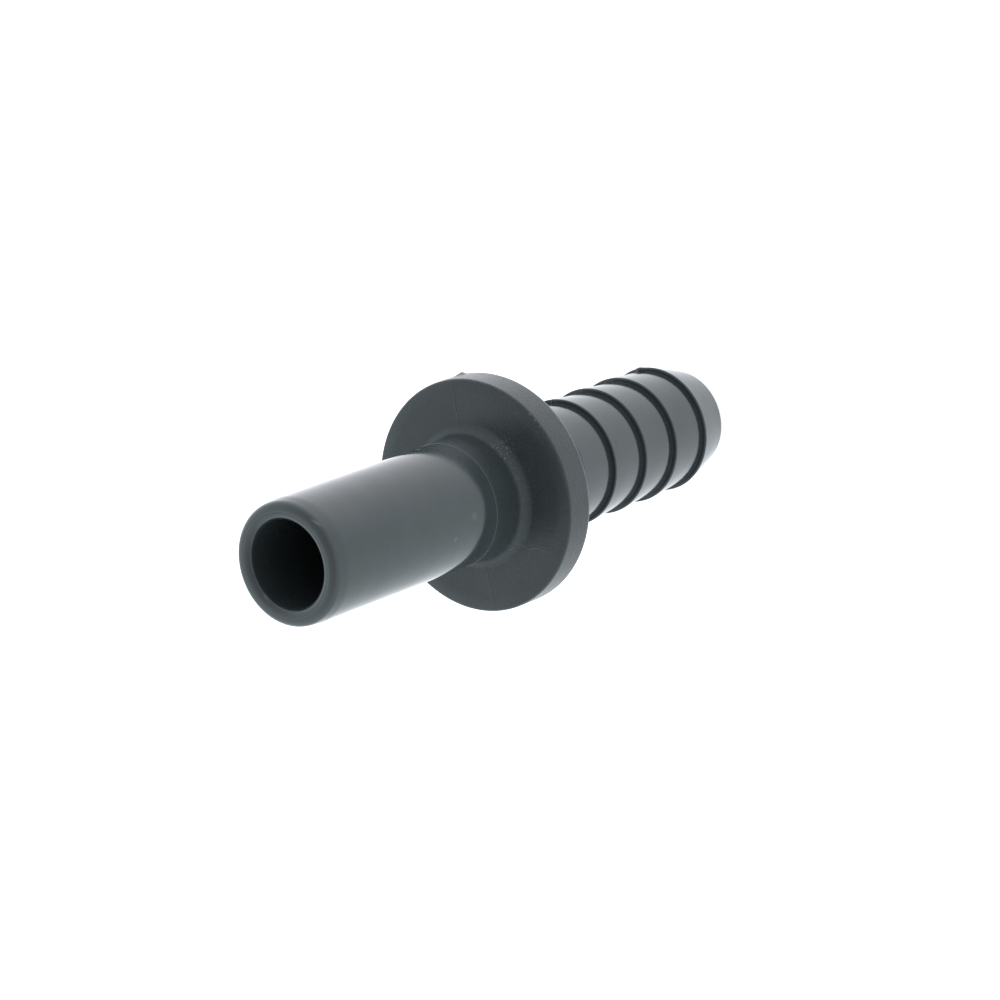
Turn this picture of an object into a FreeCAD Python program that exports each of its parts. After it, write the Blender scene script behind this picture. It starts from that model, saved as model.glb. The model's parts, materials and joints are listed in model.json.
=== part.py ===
import FreeCAD, Part
import Sketcher
import os

# Stem to barb connector: one moulded piece that joins a push-in tube fitting to a hose.
# It stands on the end of its hose tail. +Z runs up the bore to the tip of the stem,
# and the origin is the middle of the tail's end face. Everything is in millimetres.

NODE = "connector"

# Driving sizes: cell name, value, what it measures
SIZES = [
    ("stem_dia", 9.525, "outside of the smooth stem"),
    ("stem_length", 22.2, "stem tip to the front of the flange"),
    ("stem_wall", 1.46, "wall of the stem"),
    ("lead_length", 1.3, "length of the slight cone at the stem's tip"),
    ("lead_step", 0.16, "how far that cone draws in"),
    ("lead_blend", 5.0, "radius that blends the cone into the stem"),
    ("tip_round", 0.62, "radius round the outside of the stem's tip"),
    ("bore_lip", 0.4, "radius round the mouth of the stem's bore"),
    ("hub_step", 0.3, "how far the collar stands out from the stem"),
    ("hub_length", 3.45, "front of the flange to the end of the collar"),
    ("hub_lead", 0.1, "length of the collar's sloping shoulder"),
    ("hub_fillet", 0.5, "hollow radius between collar and flange"),
    ("flange_dia", 17.9, "outside of the stop flange"),
    ("flange_thickness", 2.9, "flange from front to back"),
    ("front_edge", 0.15, "radius on the flange's front edge"),
    ("rear_edge", 0.5, "radius on the flange's back edge"),
    ("tail_dia", 9.3, "hose tail between and behind the barbs"),
    ("tail_wall", 1.7, "wall of the tail between the barbs"),
    ("shank_length", 4.6, "back of the flange to the first barb"),
    ("barb_depth", 0.32, "height of a barb's step above the tail"),
    ("barb_pitch", 4.0, "one barb's step to the next"),
    ("barb_count", 5, "barbs along the tail, with the nose"),
    ("crest_round", 0.1, "radius on each barb's crest"),
    ("root_round", 0.15, "hollow radius at the foot of each step"),
    ("nose_length", 3.9, "last barb's step to the end of the tail"),
    ("nose_wall", 0.9, "wall at the end of the tail, before its edge is rounded"),
    ("nose_round", 0.5, "radius round the end of the tail"),
    ("bore_run", 1.4, "how far the stem's bore runs past the flange's front"),
    ("bore_taper", 1.0, "length of the cone between the two bores"),
]

# Radii and heights of the half sections, as formulas on the sheet's cells
STEM = "sizes.stem_dia / 2"
HUB = f"{STEM} + sizes.hub_step"
FLANGE = "sizes.flange_dia / 2"
TAIL = "sizes.tail_dia / 2"
CREST = f"{TAIL} + sizes.barb_depth"
STEM_BORE = f"{STEM} - sizes.stem_wall"
TAIL_BORE = f"{TAIL} - sizes.tail_wall"
NOSE = f"{TAIL_BORE} + sizes.nose_wall"
FIRST_STEP = "sizes.nose_length + (sizes.barb_count - 1) * sizes.barb_pitch"
FLANGE_FRONT = f"{FIRST_STEP} + sizes.shank_length + sizes.flange_thickness"

# The most that some radii may take of the wall or step that they round
ROUND_LIMITS = {
    "tip_round": "sizes.stem_wall * 0.5",
    "bore_lip": "sizes.stem_wall * 0.33",
    "crest_round": "sizes.barb_depth * 0.35",
    "root_round": "sizes.barb_depth * 0.5",
}

# How closely an edge has to lie on a corner of a half section to be its edge
SAME_PLACE = 1e-4

doc = FreeCAD.newDocument("stem_to_barb_connector")


def make_sheet():
    """Write the driving sizes into a sheet, one row each."""
    sheet = doc.addObject("Spreadsheet::Sheet", "sizes")
    for row, (name, value, meaning) in enumerate(SIZES, start=1):
        sheet.set(f"A{row}", meaning)
        sheet.set(f"B{row}", str(value))
        sheet.setAlias(f"B{row}", name)
    doc.recompute()
    return sheet


def outer_corners(barb_count):
    """Corners of the outside, from the end of the tail up to the tip of the stem.

    Each corner is (name, radius, rise): the radius is None on the axis, and the rise
    above the corner before is None where the outline runs level.
    """
    corners = [("foot", None, None), ("nose", NOSE, None)]
    for barb in range(1, barb_count + 1):
        rise = "sizes.nose_length" if barb == 1 else "sizes.barb_pitch"
        corners.append((f"crest_{barb}", CREST, rise))
        corners.append((f"root_{barb}", TAIL, None))
    return corners + [
        ("shank_end", TAIL, "sizes.shank_length"),
        ("flange_rear", FLANGE, None),
        ("flange_front", FLANGE, "sizes.flange_thickness"),
        ("hub_foot", HUB, None),
        ("hub_end", HUB, "sizes.hub_length - sizes.hub_lead"),
        ("stem_foot", STEM, "sizes.hub_lead"),
        ("lead_foot", STEM, "sizes.stem_length - sizes.hub_length - sizes.lead_length"),
        ("stem_tip", f"{STEM} - sizes.lead_step", "sizes.lead_length"),
        ("top", None, None),
    ]


def bore_corners():
    """Corners of the way through: the tail's bore, a short cone, the stem's bore."""
    return [
        ("floor", None, None),
        ("tail_mouth", TAIL_BORE, None),
        ("cone_low", TAIL_BORE, f"{FLANGE_FRONT} - sizes.bore_run - sizes.bore_taper"),
        ("cone_high", STEM_BORE, "sizes.bore_taper"),
        ("stem_mouth", STEM_BORE, "sizes.bore_run + sizes.stem_length"),
        ("ceiling", None, None),
    ]


def bind(sketch, kind, from_point, to_point, name, formula):
    """Add a distance between two points of a sketch and tie it to the sheet."""
    number = sketch.addConstraint(Sketcher.Constraint(kind, *from_point, *to_point, 1.0))
    sketch.renameConstraint(number, name)
    sketch.setExpression(f"Constraints.{name}", formula)


def half_section(body, name, corners):
    """A closed outline on the XZ plane through these corners, back to the Z axis."""
    plane = [item for item in body.Origin.OriginFeatures if item.Role == "XZ_Plane"][0]
    sketch = body.newObject("Sketcher::SketchObject", name)
    sketch.AttachmentSupport = [(plane, "")]
    sketch.MapMode = "FlatFace"

    # The lines start as a rough staircase, and the constraints move them to their places.
    count = len(corners)
    rough = [FreeCAD.Vector(0 if radius is None else step + 1, step, 0)
             for step, (corner, radius, rise) in enumerate(corners)]
    for step in range(count):
        sketch.addGeometry(Part.LineSegment(rough[step], rough[(step + 1) % count]), False)
    start, end = 1, 2
    origin, z_axis = (-1, 1), -2
    for step in range(count):
        joint = Sketcher.Constraint("Coincident", step, end, (step + 1) % count, start)
        sketch.addConstraint(joint)

    sketch.addConstraint(Sketcher.Constraint("Coincident", 0, start, *origin))
    for step, (corner, radius, rise) in enumerate(corners[1:], start=1):
        if radius is None:
            sketch.addConstraint(Sketcher.Constraint("PointOnObject", step, start, z_axis))
        else:
            bind(sketch, "DistanceX", origin, (step, start), f"{corner}_radius", radius)
        if rise is None:
            sketch.addConstraint(Sketcher.Constraint("Horizontal", step - 1))
        else:
            bind(sketch, "DistanceY", (step - 1, start), (step, start), f"{corner}_rise", rise)
    return sketch


def turn(body, kind, name, sketch):
    """Revolve a half section once round the Z axis, as a solid or as a cut."""
    feature = body.newObject(kind, name)
    feature.Profile = sketch
    feature.ReferenceAxis = (sketch, ["V_Axis"])
    feature.Angle = 360
    sketch.Visibility = False
    doc.recompute()
    return feature


def corner_places(sketch, corners):
    """Radius and height of each named corner of a finished half section."""
    places = {}
    for step, (corner, radius, rise) in enumerate(corners):
        point = sketch.Geometry[step].StartPoint
        places[corner] = (point.x, point.y)
    return places


def ring_edges(shape, place):
    """Names of the circular edges of a shape that have this radius at this height."""
    radius, height = place
    names = []
    for number, edge in enumerate(shape.Edges, start=1):
        if not isinstance(edge.Curve, Part.Circle):
            continue
        off_radius = abs(edge.Curve.Radius - radius)
        off_height = abs(edge.Curve.Center.z - height)
        if off_radius < SAME_PLACE and off_height < SAME_PLACE:
            names.append(f"Edge{number}")
    return names


def round_corners(body, base, cell, places):
    """Round the ring edges at these places with the radius that one cell holds."""
    edges = []
    for place in places:
        edges += ring_edges(base.Shape, place)
    if len(edges) != len(places):
        raise RuntimeError(f"{cell}: {len(places)} corners but {len(edges)} edges")
    feature = body.newObject("PartDesign::Fillet", f"{cell}_fillet")
    feature.Base = (base, edges)
    radius = f"sizes.{cell}"
    if cell in ROUND_LIMITS:
        radius = f"min({radius}; {ROUND_LIMITS[cell]})"
    feature.setExpression("Radius", radius)
    doc.recompute()
    return feature


def make_connector(sheet):
    """The whole moulding: turned outside, stepped bore, then its rounded edges."""
    body = doc.addObject("PartDesign::Body", "connector_body")
    body.Label = NODE
    doc.recompute()

    barb_count = int(sheet.barb_count)
    outside = outer_corners(barb_count)
    inside = bore_corners()
    outline = half_section(body, "outline", outside)
    turn(body, "PartDesign::Revolution", "moulding", outline)
    bore_outline = half_section(body, "bore_outline", inside)
    feature = turn(body, "PartDesign::Groove", "bore", bore_outline)

    places = corner_places(outline, outside)
    places.update(corner_places(bore_outline, inside))
    barbs = range(1, barb_count + 1)
    rounds = [
        ("lead_blend", ["lead_foot"]),
        ("tip_round", ["stem_tip"]),
        ("bore_lip", ["stem_mouth"]),
        ("hub_fillet", ["hub_foot"]),
        ("front_edge", ["flange_front"]),
        ("rear_edge", ["flange_rear"]),
        ("root_round", [f"root_{barb}" for barb in barbs] + ["shank_end"]),
        ("crest_round", [f"crest_{barb}" for barb in barbs]),
        ("nose_round", ["nose"]),
    ]
    for cell, corners in rounds:
        feature = round_corners(body, feature, cell, [places[corner] for corner in corners])
    body.Tip = feature
    doc.recompute()
    return body


def check_document(bodies):
    """Stop before anything is written if a feature or a solid is not sound."""
    for item in doc.Objects:
        if "Invalid" in item.State or "Error" in item.State:
            raise RuntimeError(f"{item.Name} failed: {item.State}")
    for body in bodies:
        if body.Shape.isNull() or not body.Shape.isValid():
            raise RuntimeError(f"{body.Label} has no valid solid")
        if len(body.Shape.Solids) != 1:
            raise RuntimeError(f"{body.Label} has {len(body.Shape.Solids)} solids")


def write_parts(bodies):
    """Write one STEP file for each body, named after its label."""
    os.makedirs("parts", exist_ok=True)
    for body in bodies:
        body.Shape.exportStep(f"parts/{body.Label}.step")
        box = body.Shape.optimalBoundingBox()
        print(f"{body.Label}: {box.XLength:.2f} x {box.YLength:.2f} x {box.ZLength:.2f} mm,"
              f" {body.Shape.Volume:.1f} mm3, {len(body.Shape.Faces)} faces")


bodies = [make_connector(make_sheet())]
check_document(bodies)
write_parts(bodies)
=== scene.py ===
# %% [markdown]
# A stem to barb connector
#
# This lesson dresses one moulded plastic fitting. Its place and the sizes that other
# parts have to fit come from a model that is finished already, so we read those. We draw
# the same outline with finer edges, set its smallest forms from a closer look at the real
# thing, and give it the finish of the real plastic.

# %% Load the finished model
import json
import math

import bpy
from mathutils import Matrix, Vector


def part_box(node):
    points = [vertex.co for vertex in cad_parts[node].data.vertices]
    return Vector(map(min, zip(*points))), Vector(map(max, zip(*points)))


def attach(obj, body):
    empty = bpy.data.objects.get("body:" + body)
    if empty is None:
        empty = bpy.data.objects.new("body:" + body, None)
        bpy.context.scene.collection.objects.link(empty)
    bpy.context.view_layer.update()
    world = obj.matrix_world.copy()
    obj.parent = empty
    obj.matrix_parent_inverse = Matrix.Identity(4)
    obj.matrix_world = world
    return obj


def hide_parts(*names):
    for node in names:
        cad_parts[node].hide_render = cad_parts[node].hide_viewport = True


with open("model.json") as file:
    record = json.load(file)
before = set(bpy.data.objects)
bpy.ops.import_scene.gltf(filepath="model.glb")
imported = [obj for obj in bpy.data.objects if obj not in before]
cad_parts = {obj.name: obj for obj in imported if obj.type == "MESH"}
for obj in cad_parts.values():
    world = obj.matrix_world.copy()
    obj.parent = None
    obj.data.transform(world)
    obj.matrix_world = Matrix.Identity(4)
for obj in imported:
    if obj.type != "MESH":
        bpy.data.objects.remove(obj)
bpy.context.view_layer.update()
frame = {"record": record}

# %% [markdown]
# Blender works in metres here. A fitting is measured in millimetres, so each size below
# is a number of millimetres times MM. The sizes that other parts have to fit, which are
# the stem, the bores and the flange's faces, are read from the model's own interfaces.

# %% Sizes that come from the model
MM = 0.001

mounts = {mount["name"]: mount for mount in frame["record"]["mounts"]}
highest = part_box("connector")[1]

stem_radius = mounts["stem"]["dims"]["r_mm"] * MM
stem_bore_radius = mounts["stem_bore"]["dims"]["r_mm"] * MM
tail_bore_radius = mounts["tail_bore"]["dims"]["r_mm"] * MM
flange_front = mounts["flange_front"]["pos_m"][2]
flange_back = mounts["flange_back"]["pos_m"][2]
flange_radius = highest.x
stem_tip = highest.z
print("stem radius", stem_radius, "flange radius", round(flange_radius, 5), "tip", round(stem_tip, 5))

# %% Sizes of the forms between them
lead_length = 1.3 * MM
lead_step = 0.16 * MM
lead_blend = 5.0 * MM
tip_round = 0.62 * MM
bore_lip = 0.52 * MM
collar_radius = stem_radius + 0.06 * MM
collar_end_radius = stem_radius + 0.022 * MM
collar_end = flange_front + 3.3 * MM
collar_lead = 0.03 * MM
collar_fillet = 0.8 * MM
front_edge = 0.22 * MM
rear_edge = 0.5 * MM
tail_radius = 4.59 * MM
barb_depth = 0.38 * MM
barb_pitch = 4.0 * MM
barb_count = 5
crest_round = 0.12 * MM
root_round = 0.02 * MM
nose_length = 3.9 * MM
nose_radius = 3.85 * MM
nose_round = 0.5 * MM
bore_run = 1.4 * MM
bore_taper = 1.0 * MM
soft_corner = 0.12 * MM
shoulder_corner = 0.015 * MM

# Plastic shrinks most where it is thickest, so the face rolls off towards its edge.
roll_off_width = 0.75 * MM
roll_off_drop = 0.14 * MM
roll_off_round = 5.0 * MM
print("first barb's step at", round((nose_length + (barb_count - 1) * barb_pitch) / MM, 2), "mm")

# %% [markdown]
# The camera looks from where the picture was taken. A long lens looks at the part from
# above the stem, with the part's axis slanting away from us. Three angles say how the
# axis lies in the picture, and the lens, the distance and one point of the picture say
# how large the part is and where it sits. The last angle turns us round the part until
# the mould's parting line lies where the picture has it.

# %% Camera
lens = 182.43
sensor = 36.0
tip_distance = 362.57 * MM
tip_pixel = (284.994, 565.584)
picture_size = 1000
slant = math.radians(39.899)
turn_in_picture = math.radians(20.461)
round_the_part = math.radians(-77.5)


def camera_matrix():
    """Where the camera stands, from the part's axis as the camera sees it."""
    down_the_part = Vector((math.sin(slant) * math.cos(turn_in_picture),
                            math.sin(slant) * math.sin(turn_in_picture),
                            -math.cos(slant)))
    up = -down_the_part
    towards_us = Vector((0, 0, 1)) - up * up.z
    towards_us.normalize()
    beside = up.cross(towards_us)
    world_x = math.cos(round_the_part) * towards_us - math.sin(round_the_part) * beside
    world_y = math.sin(round_the_part) * towards_us + math.cos(round_the_part) * beside
    to_world = Matrix((world_x, world_y, up))

    focal_pixels = lens / sensor * picture_size
    right = (tip_pixel[0] - picture_size / 2) / focal_pixels
    below = (tip_pixel[1] - picture_size / 2) / focal_pixels
    tip_seen = Vector((right, -below, -1)) * tip_distance
    place = Vector((0, 0, stem_tip)) - to_world @ tip_seen
    return Matrix.Translation(place) @ to_world.to_4x4()


camera_data = bpy.data.cameras.new("camera")
camera_data.lens = lens
camera_data.sensor_width = sensor
camera_data.clip_start = 0.01
camera = bpy.data.objects.new("camera", camera_data)
camera.matrix_world = camera_matrix()
bpy.context.scene.collection.objects.link(camera)
bpy.context.scene.camera = camera
print("camera at", [round(side, 4) for side in camera.location])

# %% [markdown]
# Node trees are wordy to build by hand. One small class lets us write sums on sockets as
# we would on numbers: it holds a socket, and each operator adds the Math node that it
# stands for. Every other node comes from one function, which sets the node's own settings
# first, because they decide which sockets it has, and then its inputs.

# %% A term of a node sum
class Term:
    """A socket of a node tree, with the operators that this script uses."""

    def __init__(self, tree, socket):
        self.tree = tree
        self.socket = socket

    def node(self, kind, settings, inputs, output=0):
        """Add a node to the same tree and return one of its outputs."""
        return add_node(self.tree, kind, settings, inputs, output)

    def math(self, operation, *values):
        """The Math node of this name on some values, or on this term alone."""
        return self.node("ShaderNodeMath", {"operation": operation}, values or [self])

    def __add__(self, other):
        return self.math("ADD", self, other)

    def __radd__(self, other):
        return self.math("ADD", other, self)

    def __sub__(self, other):
        return self.math("SUBTRACT", self, other)

    def __rsub__(self, other):
        return self.math("SUBTRACT", other, self)

    def __mul__(self, other):
        return self.math("MULTIPLY", self, other)

    def __rmul__(self, other):
        return self.math("MULTIPLY", other, self)

    def __truediv__(self, other):
        return self.math("DIVIDE", self, other)


def add_node(tree, kind, settings, inputs, output=0):
    """Add one node. Inputs are a list in socket order, or a dict by socket name."""
    made = tree.nodes.new(kind)
    for name, value in settings.items():
        setattr(made, name, value)
    sockets = [socket for socket in made.inputs if socket.enabled]
    if isinstance(inputs, dict):
        named = {socket.name: socket for socket in sockets}
        pairs = [(named[name], value) for name, value in inputs.items()]
    else:
        pairs = list(zip(sockets, inputs))
    for socket, value in pairs:
        if isinstance(value, Term):
            tree.links.new(value.socket, socket)
        else:
            socket.default_value = value
    outputs = [socket for socket in made.outputs if socket.enabled]
    if isinstance(output, str):
        output = [socket.name for socket in outputs].index(output)
    return Term(tree, outputs[output])


print("node sums ready")

# %% Sums that come up often
def split(vector):
    """The three parts of a vector."""
    parts = vector.node("ShaderNodeSeparateXYZ", {}, [vector]).socket.node.outputs
    return [Term(vector.tree, socket) for socket in parts]


def join(x, y, z):
    """A vector from three parts, the first of which is a term."""
    return x.node("ShaderNodeCombineXYZ", {}, [x, y, z])


def bell(distance, width):
    """One in the middle, falling softly to nothing a few widths away."""
    share = distance / width
    return (share * share * -1.0).math("EXPONENT")


def ramp(value, start, end):
    """Nothing at the start, one at the end, and smooth between them."""
    settings = {"interpolation_type": "SMOOTHSTEP"}
    inputs = {"Value": value, "From Min": start, "From Max": end}
    return value.node("ShaderNodeMapRange", settings, inputs)


print("node helpers ready")

# %% [markdown]
# The real fitting is turned in shape: every section across the bore is a ring. So one
# half section, drawn once, holds the whole form. We list its corners from the end of the
# tail up the outside and back down the bore, each with the radius that the mould maker
# gave it. A round corner between two long straight runs needs a short straight piece at
# each side, or the smooth shading of the round would bleed across the flat face, so
# every rounded corner gets a guard point just beyond where its round begins.

# %% Corners of the half section
guard_gap = 0.008 * MM

# Extra rows on the flange's rim keep a nub at its back edge short.
rim_rows = 5
rim_row_gap = 0.2 * MM


def outside_corners():
    """Corners of the outside from the tail's end upwards: radius, height, rounding."""
    corners = [(nose_radius, 0.0, nose_round)]
    for barb in range(barb_count):
        height = nose_length + barb * barb_pitch
        corners.append((tail_radius + barb_depth, height, crest_round))
        corners.append((tail_radius, height, root_round))
    corners.append((tail_radius, flange_back, root_round))
    corners.append((flange_radius, flange_back, rear_edge))
    rim_top = flange_front - roll_off_drop
    for row in range(rim_rows, 0, -1):
        corners.append((flange_radius, rim_top - front_edge - row * rim_row_gap, 0.0))
    corners += [
        (flange_radius, rim_top, front_edge),
        (flange_radius - roll_off_width, flange_front, roll_off_round),
        (collar_radius, flange_front, collar_fillet),
        (collar_end_radius, collar_end - collar_lead, shoulder_corner),
        (stem_radius, collar_end, shoulder_corner),
        (stem_radius, stem_tip - lead_length, lead_blend),
        (stem_radius - lead_step, stem_tip, tip_round),
    ]
    return corners


def bore_corners():
    """Corners of the way through, from the stem's tip back down to the tail's end."""
    cone_top = flange_front - bore_run
    return [
        (stem_bore_radius, stem_tip, bore_lip),
        (stem_bore_radius, cone_top, soft_corner),
        (tail_bore_radius, cone_top - bore_taper, soft_corner),
        (tail_bore_radius, 0.0, soft_corner),
    ]


def guarded(corners):
    """The same outline with a guard point on each side of every rounded corner."""
    points = []
    for step, (radius, height, rounding) in enumerate(corners):
        here = Vector((radius, height))
        if rounding == 0.0:
            points.append((here, rounding))
            continue
        to_before = (Vector(corners[step - 1][:2]) - here).normalized()
        to_after = (Vector(corners[(step + 1) % len(corners)][:2]) - here).normalized()
        reach = rounding / math.tan(to_before.angle(to_after) / 2) + guard_gap
        points.append((here + to_before * reach, 0.0))
        points.append((here, rounding))
        points.append((here + to_after * reach, 0.0))
    return points


outline = guarded(outside_corners() + bore_corners())
print("half section has", len(outline), "points")

# %% Draw the half section as a closed line
def outline_object(points):
    """A closed loop of edges in the XZ plane, with each corner's rounding stored on it."""
    mesh = bpy.data.meshes.new("half_section")
    places = [(place.x, 0.0, place.y) for place, rounding in points]
    edges = [(step, (step + 1) % len(points)) for step in range(len(points))]
    mesh.from_pydata(places, edges, [])
    stored = mesh.attributes.new("rounding", "FLOAT", "POINT")
    stored.data.foreach_set("value", [rounding for place, rounding in points])
    made = bpy.data.objects.new("half_section", mesh)
    bpy.context.scene.collection.objects.link(made)
    return made


half_section = outline_object(outline)
print("drew", half_section.name)

# %% [markdown]
# Geometry Nodes turn the line into the part. The tree rounds the corners, lays a grid
# out with one row for each point of the line and one column for each step round the
# axis, and moves every grid point to its place on the ring.
#
# A moulding shows where the two halves of its mould met: a hair of plastic creeps into
# the joint and leaves a raised line, and here and there a torn nub. That line is far
# finer than the steps round the axis need to be. So the columns are crowded together at
# the parting plane and spread out between, by taking a share of the sine of twice the
# angle off the angle.

# %% Nubs and nicks that the parting line left
parting_marks = [
    {"height": flange_back + 0.6 * MM, "aside": 0.75 * MM, "side": 1.0,
     "tall": 0.3 * MM, "wide": 0.25 * MM, "proud": 0.2 * MM},
    {"height": flange_back + 0.1 * MM, "aside": -0.1 * MM, "side": -1.0,
     "tall": 0.2 * MM, "wide": 0.16 * MM, "proud": -0.14 * MM},
    {"height": nose_length, "aside": 0.4 * MM, "side": 1.0,
     "tall": 0.4 * MM, "wide": 0.3 * MM, "proud": 0.08 * MM},
]


def mark_height(x, y, z):
    """How far the nubs and nicks together push the surface out."""
    total = 0.0
    for mark in parting_marks:
        on_side = ramp(x * mark["side"], 0.0, stem_radius)
        shape = bell(y - mark["aside"], mark["wide"]) * bell(z - mark["height"], mark["tall"])
        total = total + shape * on_side * mark["proud"]
    return total


# %% The tree that turns the line into a ring
def lathe_tree(material):
    """Round the corners, wrap a grid round the axis, and raise the parting line."""
    tree = bpy.data.node_groups.new("turned moulding", "GeometryNodeTree")
    face = tree.interface
    face.new_socket("Geometry", in_out="OUTPUT", socket_type="NodeSocketGeometry")
    face.new_socket("Geometry", in_out="INPUT", socket_type="NodeSocketGeometry")
    for name, kind in [("Steps round", "NodeSocketInt"), ("Steps in a corner", "NodeSocketInt"),
                       ("Crowding", "NodeSocketFloat"), ("Flash height", "NodeSocketFloat"),
                       ("Flash width", "NodeSocketFloat")]:
        face.new_socket(name, in_out="INPUT", socket_type=kind)
    given = {socket.name: Term(tree, socket) for socket in tree.nodes.new("NodeGroupInput").outputs}

    rounding = add_node(tree, "GeometryNodeInputNamedAttribute", {}, {"Name": "rounding"})
    line = rounding.node("GeometryNodeMeshToCurve", {}, [given["Geometry"]])
    round_line = line.node("GeometryNodeFilletCurve", {"mode": "POLY"}, {
        "Curve": line,
        "Count": given["Steps in a corner"],
        "Radius": rounding,
        "Limit Radius": True,
    })
    rows = line.node("GeometryNodeAttributeDomainSize", {"component": "CURVE"}, [round_line])
    grid = rows.node("GeometryNodeMeshGrid", {}, {
        "Size X": 1.0,
        "Size Y": 1.0,
        "Vertices X": rows + 1.0,
        "Vertices Y": given["Steps round"] + 1.0,
    })

    place = add_node(tree, "GeometryNodeInputPosition", {}, [])
    across, along, level = split(place)
    row = ((across + 0.5) * rows).math("ROUND")
    row = row.math("FLOORED_MODULO", row, rows)
    on_line = row.node("GeometryNodeSampleIndex", {"data_type": "FLOAT_VECTOR"}, {
        "Geometry": round_line,
        "Value": place,
        "Index": row,
    })
    radius, nothing, height = split(on_line)
    even_angle = (along + 0.5) * (2 * math.pi)
    double = even_angle * 2.0
    angle = even_angle - double.math("SINE") * given["Crowding"] * 0.5
    ring = join(radius * angle.math("COSINE"), radius * angle.math("SINE"), height)
    wrapped = ring.node("GeometryNodeSetPosition", {}, {"Geometry": grid, "Position": ring})
    closed = ring.node("GeometryNodeMergeByDistance", {}, {"Geometry": wrapped, "Distance": 0.001 * MM})
    closed = closed.node("GeometryNodeFlipFaces", {}, {"Mesh": closed})

    x, y, z = split(place)
    from_axis = (x * x + y * y).math("SQRT")
    outside = ramp(from_axis, stem_bore_radius + 0.1 * MM, nose_radius - 0.1 * MM)
    under_collar = 1.0 - ramp(z, flange_front + 0.02 * MM, flange_front + 0.3 * MM)
    line_height = bell(y, given["Flash width"]) * given["Flash height"]
    push = (line_height + mark_height(x, y, z)) * outside * under_collar
    facing = add_node(tree, "GeometryNodeInputNormal", {}, [])
    offset = facing.node("ShaderNodeVectorMath", {"operation": "SCALE"}, [facing, push])
    raised = offset.node("GeometryNodeSetPosition", {}, {"Geometry": closed, "Offset": offset})
    smooth = raised.node("GeometryNodeSetShadeSmooth", {}, {"Geometry": raised, "Shade Smooth": True})
    real = smooth.node("GeometryNodeRealizeInstances", {}, [smooth])
    dressed = real.node("GeometryNodeSetMaterial", {}, {"Geometry": real, "Material": material})
    result = tree.nodes.new("NodeGroupOutput")
    tree.links.new(dressed.socket, result.inputs["Geometry"])
    return tree


print("parting marks", len(parting_marks))

# %% [markdown]
# The plastic is dark grey acetal. It is a little waxy: light grazes off it brightly and
# sinks into it elsewhere, so the sides of the stem shine and its middle is dark. The
# mould's steel was polished for the stem, because a seal slides on it, left finely
# turned for the tail, and spark eroded for the flange and collar, which gives them a
# fine matt grain. One material holds all three finishes and tells them apart by height.
#
# Heights are worked out in millimetres, so a pattern's scale reads as so many to the
# millimetre, and a Bump node with a distance of MM takes its height in millimetres.

# %% Patterns of the plastic
grey = (0.0255, 0.0312, 0.0330, 1.0)
lighter_grey = (0.0530, 0.0648, 0.0680, 1.0)
speck_and_glint_grey = (0.2600, 0.2800, 0.2900, 1.0)
black = (0.0, 0.0, 0.0, 1.0)


def noise(place, scale, detail=2.0, roughness=0.5):
    """Smooth noise from nothing to one, at so many waves to the millimetre."""
    inputs = {"Vector": place, "Scale": scale, "Detail": detail, "Roughness": roughness}
    return place.node("ShaderNodeTexNoise", {}, inputs)


def mix_colour(share, first, second):
    """A colour between two others."""
    inputs = {"Factor": share, "A": first, "B": second}
    return share.node("ShaderNodeMix", {"data_type": "RGBA"}, inputs)


print("greys", grey[:3], "to", lighter_grey[:3])

# %% [markdown]
# A mask is one where a finish or a form is and nothing elsewhere, with a soft edge in
# between. Each one here is a short sum on the height above the tail's end and on the
# distance from the axis, so it follows the part's own sizes. Colour, gloss and texture
# are then masks added together, each times a weight of its own.

# %% Where each finish and form lies
# A thin ring where the tip's flat face meets its round is painted lighter, a painted highlight, this
# far from the axis.
edge_highlight_radius = 3.97
hollow_radius = 5.2


def finish_masks(place):
    """A mask for each finish of the mould's steel, each form that has its own look, and each place
    where light or shade is painted.
    """
    x, y, z = split(place)
    from_axis = (x * x + y * y).math("SQRT")
    front = flange_front / MM
    back = flange_back / MM
    tip = stem_tip / MM
    collar_top = collar_end / MM
    rim_edge = flange_radius / MM
    bore_wall = stem_bore_radius / MM

    above_back = ramp(z, back - 0.02, back + 0.06)
    below_stem = 1.0 - ramp(z, collar_top - 0.25, collar_top + 0.05)
    towards_collar = 1.0 - ramp(z, collar_top, collar_top + 1.7)
    sparked = above_back * below_stem
    # The bore's mask darkens the grey there: painted shade inside the bore.
    bore = 1.0 - ramp(from_axis, bore_wall + 0.05, bore_wall + 0.3)
    return {
        "tail": 1.0 - above_back,
        "sparked": sparked,
        "collar": sparked * ramp(z, front + 0.2, front + 1.2),
        "above_collar": towards_collar * (1.0 - below_stem),
        "rim": ramp(from_axis, rim_edge - 0.75, rim_edge - 0.05),
        "hollow": bell(from_axis - hollow_radius, 0.5) * bell(z - front - 0.3, 0.5),
        "face": bell(z - front, 0.25),
        "bore": bore,
        "tip": bell(z - tip + 0.15, 0.2),
        # The flat end face of the stem is painted a little lighter, as painted light.
        "end_face": bell(z - tip, 0.1) * (1.0 - bore),
        # A painted highlight: a thin lighter ring where the flat end face meets its round.
        "edge_highlight": bell(from_axis - edge_highlight_radius, 0.03) * bell(z - tip, 0.1),
    }


def weighted(masks, weights):
    """Some of the masks added together, each times its own weight."""
    total = 0.0
    for name, weight in weights.items():
        total = total + masks[name] * weight
    return total


print("witness ring", edge_highlight_radius, "mm from the axis")

# %% [markdown]
# A part that has been handled carries small marks: a place where the grain is rubbed lighter,
# a speck of dust, a curled scratch. A few painted glints sit among them as well: two light
# dashes on the stem's tip and three light specks on the flange's front edge are highlights
# painted into the colour. A patch fades away round one point, and a scratch or a dash is a
# soft line seen along the axis. So a short list of places holds them all, and any of them
# can be moved without touching the rest.

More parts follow.
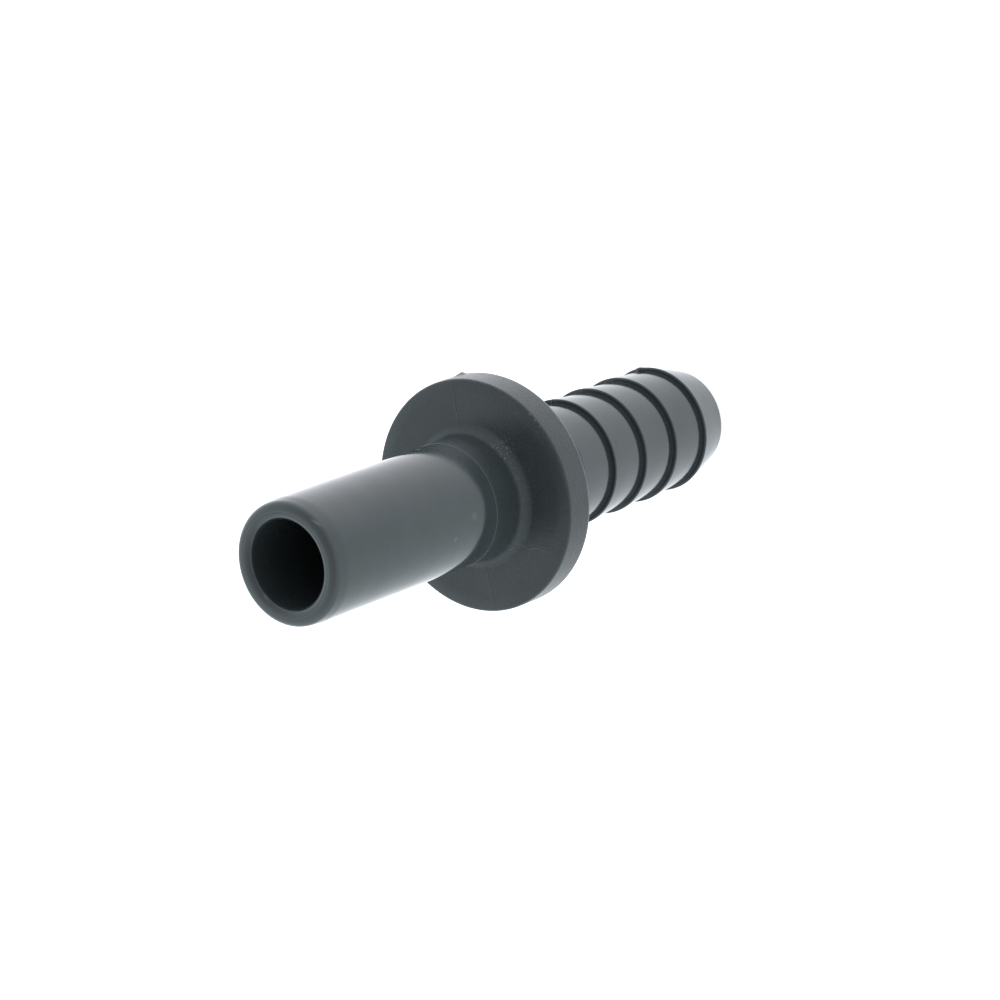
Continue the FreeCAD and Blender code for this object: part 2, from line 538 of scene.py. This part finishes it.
# %% Marks of handling and painted glints, in millimetres
curl = {"middle": (-4.28, -4.75), "length": 2.4, "heading": math.radians(78),
        "width": 0.045, "wave": 0.09}
# The next two are painted glints: light dashes painted on the round of the stem's tip and on the bore's
# lip.
painted_tip_glint = {"middle": (2.85, -3.56), "length": 0.8, "heading": math.radians(-129), "width": 0.06}
painted_lip_glint = {"middle": (-2.25, 2.58), "length": 0.6, "heading": math.radians(-142), "width": 0.06}

# Middle, size, and how much of the lighter grey shows there
frosted_places = [
    ((3.5, -3.9, 27.75), 0.9, 1.0),
    ((4.5, -1.9, 31.0), 1.8, 0.35),
    ((1.0, -5.2, 27.75), 2.2, 0.2),
    ((-4.6, -2.8, 27.75), 2.0, 0.25),
]
specks_and_glints = [
    ((-1.62, -4.48, 35.7), 0.13, 0.35),
    ((-0.45, -4.74, 33.4), 0.25, 0.2),
    ((4.76, -0.1, 32.7), 0.14, 0.9),
    # These three, on the flange's front edge, are painted glints, not specks.
    ((5.79, -6.72, 27.25), 0.07, 0.4),
    ((5.31, -7.10, 27.25), 0.08, 0.3),
    ((4.82, -7.45, 27.25), 0.07, 0.3),
]
hazy_place = ((4.4, -2.0, 31.0), 2.2)
dark_speck = ((-2.73, -3.9, 37.25), 0.1)


def soft_line(place, middle, length, heading, width, wave=0.0):
    """One fine soft line across the axis, straight or gently waving: a scratch, and also the shape of
    the painted glints on the tip.
    """
    x, y, z = split(place)
    ahead = (x - middle[0]) * math.cos(heading) + (y - middle[1]) * math.sin(heading)
    aside = (y - middle[1]) * math.cos(heading) - (x - middle[0]) * math.sin(heading)
    bend = ahead * (9.0 / length)
    aside = aside - bend.math("SINE") * wave
    return bell(aside, width) * bell(ahead, length / 2)


def patch(place, middle, size):
    """One at a point of the part, fading to nothing around it."""
    reach = place.node("ShaderNodeVectorMath", {"operation": "DISTANCE"}, [place, middle], "Value")
    return bell(reach, size)


def mark_masks(place, masks):
    """A mask for each mark, kept to the surface that it is on."""
    return {
        "curl": soft_line(place, **curl) * masks["face"],
        # The two dashes on the tip are painted highlights, kept to the tip.
        "painted_tip_glint": soft_line(place, **painted_tip_glint) * masks["tip"],
        "painted_lip_glint": soft_line(place, **painted_lip_glint) * masks["tip"],
        "haze": patch(place, *hazy_place),
    }


print("marks", len(frosted_places), "frosted,", len(specks_and_glints), "light specks")

# %% How strongly each mask works
# Some of these are painted light: the thin ring and the two dashes at the stem's tip are painted
# highlights, and the end face is painted lighter.
lightening = {"curl": 0.2, "edge_highlight": 0.1, "end_face": 0.04, "haze": 0.07,
              "above_collar": 0.045, "painted_tip_glint": 0.45, "painted_lip_glint": 0.2}
# Darkening the bore is painted shade.
greying = {"collar": 0.25, "tail": -0.2, "bore": -0.4}
polished_roughness = 0.07
roughening = {"tail": 0.06, "sparked": 0.22, "above_collar": 0.04, "haze": 0.2, "hollow": 0.2}

# Heights of the texture, in millimetres
slow_wave = 0.06
spark_grain = 0.016
more_grain_on_rim = 0.018
turning_rings = 0.002
scratch_lip = 0.01
print("roughness from", polished_roughness, "up")

# %% Lightness, colour and texture
def lightness(place, masks):
    """How much the marks, the painted highlights and the painted lighter end face lighten the plastic.
    """
    light = weighted(masks, lightening)
    dust = ramp(noise(place, 8.0, 3.0, 0.7), 0.55, 0.7)
    for middle, size, amount in frosted_places:
        light = light + patch(place, middle, size) * dust * amount
    for middle, size, amount in specks_and_glints:
        light = light + patch(place, middle, size) * amount
    return light


def plastic_colour(place, masks, grain, fine_cloud, light):
    """Cloudy grey with the sparked grain in it, darker in the bore as painted shade, and lightened
    where it is marked and where highlights are painted.
    """
    share = noise(place, 0.35) * 0.5 + fine_cloud * 0.25 + 0.2
    share = share + masks["sparked"] * ((grain - 0.5) * 0.8 - 0.4)
    share = share + weighted(masks, greying)
    colour = mix_colour(share, grey, lighter_grey)
    colour = mix_colour(light.math("MINIMUM", light, 1.0), colour, speck_and_glint_grey)
    return mix_colour(patch(place, *dark_speck), colour, black)


def plastic_height(place, masks, grain):
    """Height of the texture: slow waves, sparked grain, turning rings and the scratch."""
    x, y, z = split(place)
    rings = noise(join(x * 0.15, y * 0.15, z * 9.0), 1.0, 2.0)
    height = noise(place, 0.25, 1.5) * slow_wave
    height = height + grain * masks["sparked"] * (masks["rim"] * more_grain_on_rim + spark_grain)
    return height + rings * masks["tail"] * turning_rings + masks["curl"] * scratch_lip


print("texture up to", slow_wave + spark_grain + more_grain_on_rim, "mm high")

# %% The acetal, with its three finishes
def make_acetal():
    """Dark grey acetal: polished stem, satin tail, sparked flange and collar."""
    material = bpy.data.materials.new("grey_acetal")
    material.use_nodes = True
    tree = material.node_tree
    shader = tree.nodes["Principled BSDF"]
    object_place = add_node(tree, "ShaderNodeTexCoord", {}, [], "Object")
    place = object_place.node("ShaderNodeVectorMath", {"operation": "SCALE"}, [object_place, 1 / MM])

    masks = finish_masks(place)
    masks.update(mark_masks(place, masks))
    grain = noise(place, 5.5, 3.0, 0.6)
    fine_cloud = noise(place, 2.2, 3.0)
    light = lightness(place, masks)
    colour = plastic_colour(place, masks, grain, fine_cloud, light)
    height = plastic_height(place, masks, grain)
    normal = height.node("ShaderNodeBump", {}, {"Strength": 1.0, "Distance": MM, "Height": height})
    rough = weighted(masks, roughening) + polished_roughness
    rough = rough + fine_cloud * 0.04 + light * 0.2

    tree.links.new(colour.socket, shader.inputs["Base Color"])
    tree.links.new(rough.socket, shader.inputs["Roughness"])
    tree.links.new(normal.socket, shader.inputs["Normal"])
    shader.inputs["IOR"].default_value = 1.5
    return material


acetal = make_acetal()
print("material", acetal.name, "with", len(acetal.node_tree.nodes), "nodes")

# %% [markdown]
# Now the tree goes on the line as a modifier. Its inputs are set by the identifier that
# each socket has, which the tree's interface gives by name. The result is taken as a
# plain mesh on an object of its own, and the line and its modifier are thrown away.

# %% Turn the moulding
def evaluated_mesh(source, tree, inputs):
    """Run a tree on an object and return what it makes as a plain mesh."""
    modifier = source.modifiers.new("turn", "NODES")
    modifier.node_group = tree
    identifiers = {item.name: item.identifier for item in tree.interface.items_tree
                   if item.in_out == "INPUT"}
    for name, value in inputs.items():
        modifier[identifiers[name]] = value
    bpy.context.view_layer.update()
    graph = bpy.context.evaluated_depsgraph_get()
    mesh = bpy.data.meshes.new_from_object(source.evaluated_get(graph))
    source.modifiers.remove(modifier)
    return mesh


moulding_mesh = evaluated_mesh(half_section, lathe_tree(acetal), {
    "Steps round": 384,
    "Steps in a corner": 6,
    "Crowding": 0.75,
    "Flash height": 0.012 * MM,
    "Flash width": 0.045 * MM,
})
bpy.data.objects.remove(half_section)
moulding = bpy.data.objects.new("connector_moulding", moulding_mesh)
bpy.context.scene.collection.objects.link(moulding)

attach(moulding, "root")
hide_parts("connector")

corner_count = sum(len(face.vertices) - 2 for face in moulding_mesh.polygons)
print("moulding has", len(moulding_mesh.vertices), "points and", corner_count, "triangles")

# %% [markdown]
# The part stands in a white light tent, and all that is bright on it is the tent's
# reflection. So the world is the tent: bright all round and faintly blue, and darker
# overhead, at its opening. No lamp is needed. The floor is white to the camera and in
# reflections. Only a share of its white is its own and the rest is light that falls on
# it, so the part shades it softly. The two together are brighter than white, though, and
# that hides the shade in the picture: a smaller share for the camera would let it show.
# The floor is whiter towards one side, and in reflections also close to the part.

# %% Floor
floor_size = 3.0
floor_own_white = 0.66
floor_brighter_side = 0.48
floor_near_white = 0.2
near_reach = 0.022
brighter_towards = math.radians(47)
brighter_over = 0.037
floor_colour = (0.8, 0.8, 0.8, 1.0)
glow_colour = (0.86, 0.96, 1.0, 1.0)
brighter_colour = (0.96, 0.94, 1.0, 1.0)


def make_floor():
    """A wide pale table that looks white to the camera and in reflections."""
    mesh = bpy.data.meshes.new("floor")
    half = floor_size / 2
    corners = [(-half, -half, 0), (half, -half, 0), (half, half, 0), (-half, half, 0)]
    mesh.from_pydata(corners, [], [(0, 1, 2, 3)])
    floor = bpy.data.objects.new("floor", mesh)
    bpy.context.scene.collection.objects.link(floor)

    material = bpy.data.materials.new("white_table")
    material.use_nodes = True
    tree = material.node_tree
    tree.nodes.remove(tree.nodes["Principled BSDF"])
    seen = add_node(tree, "ShaderNodeLightPath", {}, [], "Is Camera Ray")
    paths = {socket.name: Term(tree, socket) for socket in seen.socket.node.outputs}
    looked_at = seen.math("MAXIMUM", paths["Is Glossy Ray"], paths["Is Transmission Ray"])
    looked_at = seen.math("MAXIMUM", seen, looked_at)
    place = add_node(tree, "ShaderNodeTexCoord", {}, [], "Object")
    x, y, z = split(place)
    along = x * math.cos(brighter_towards) + y * math.sin(brighter_towards)
    share = ramp(along, -brighter_over, brighter_over)
    white = share * floor_brighter_side + floor_own_white
    tint = mix_colour(share, glow_colour, brighter_colour)
    matt = add_node(tree, "ShaderNodeBsdfDiffuse", {}, {"Color": floor_colour})
    near = bell((x * x + y * y).math("SQRT"), near_reach) * floor_near_white
    strength = looked_at * white + paths["Is Glossy Ray"] * near
    glow = matt.node("ShaderNodeEmission", {}, {"Color": tint, "Strength": strength})
    both = matt.node("ShaderNodeAddShader", {}, [matt, glow])
    tree.links.new(both.socket, tree.nodes["Material Output"].inputs["Surface"])
    mesh.materials.append(material)
    return floor


floor = make_floor()
print("floor", floor_size, "m wide")

# %% World
tent_bright = 1.47
tent_dark = 0.58
tent_colour = (0.81, 0.94, 1.0, 1.0)
opening_colour = (1.0, 1.0, 1.0, 1.0)
opening_azimuth = math.radians(-64)
opening_elevation = math.radians(72)
opening_edge = 0.17


def direction_to(azimuth, elevation):
    """A unit vector from the part towards a place in the tent."""
    level = math.cos(elevation)
    return Vector((level * math.cos(azimuth), level * math.sin(azimuth), math.sin(elevation)))


def make_world():
    """A white tent, darker towards its opening, and white where the camera sees it."""
    world = bpy.data.worlds.new("tent")
    world.use_nodes = True
    tree = world.node_tree
    background = tree.nodes["Background"]
    seen = add_node(tree, "ShaderNodeLightPath", {}, [], "Is Camera Ray")
    direction = add_node(tree, "ShaderNodeTexCoord", {}, [], "Generated")
    opening = direction_to(opening_azimuth, opening_elevation)
    x, y, z = split(direction)
    towards = x * opening.x + y * opening.y + z * opening.z
    open_share = ramp(towards, opening_edge, 1.0)
    strength = seen.math("MAXIMUM", seen, open_share * (tent_dark - tent_bright) + tent_bright)
    colour = mix_colour(open_share, tent_colour, opening_colour)
    tree.links.new(colour.socket, background.inputs["Color"])
    tree.links.new(strength.socket, background.inputs["Strength"])
    bpy.context.scene.world = world


make_world()
bpy.context.scene.view_settings.view_transform = "Standard"
print("tent", tent_dark, "to", tent_bright)
